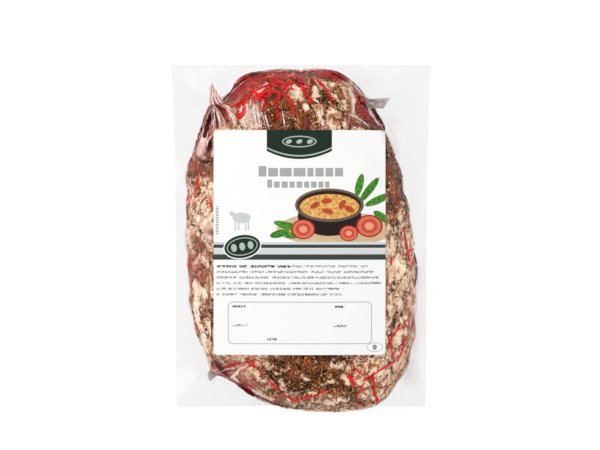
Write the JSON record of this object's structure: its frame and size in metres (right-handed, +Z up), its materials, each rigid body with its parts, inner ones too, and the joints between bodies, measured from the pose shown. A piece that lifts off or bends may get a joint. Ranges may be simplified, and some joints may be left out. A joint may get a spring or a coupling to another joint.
{
  "type": "vacuum-packed lamb roast",
  "caption": "Boned lamb roast, rolled in net and coated with herbs, sealed in a clear vacuum pouch with flat margins and a stiff paper label on top.",
  "frame": {"origin": "middle of the pack's footprint, on the table it lies on", "axes": "+Z up through the label, +Y towards the label's head, +X to the right of the label"},
  "size_m": [0.1496, 0.1991, 0.0718],
  "materials": {
    "film": "clear glossy vacuum film, with fine wrinkles and pinkish juice where it creases",
    "roast": "moist raw lamb, cream fat and red-brown lean, under oil and herbs",
    "herbs": "dried herbs, cracked pepper and mustard seeds, oily",
    "net": "bright red elastic net",
    "label": "white coated paper with printed stripes, bars and a plain picture panel"
  },
  "bodies": {
    "root": {"pouch": "film", "label": "label"}
  },
  "joints": []
}
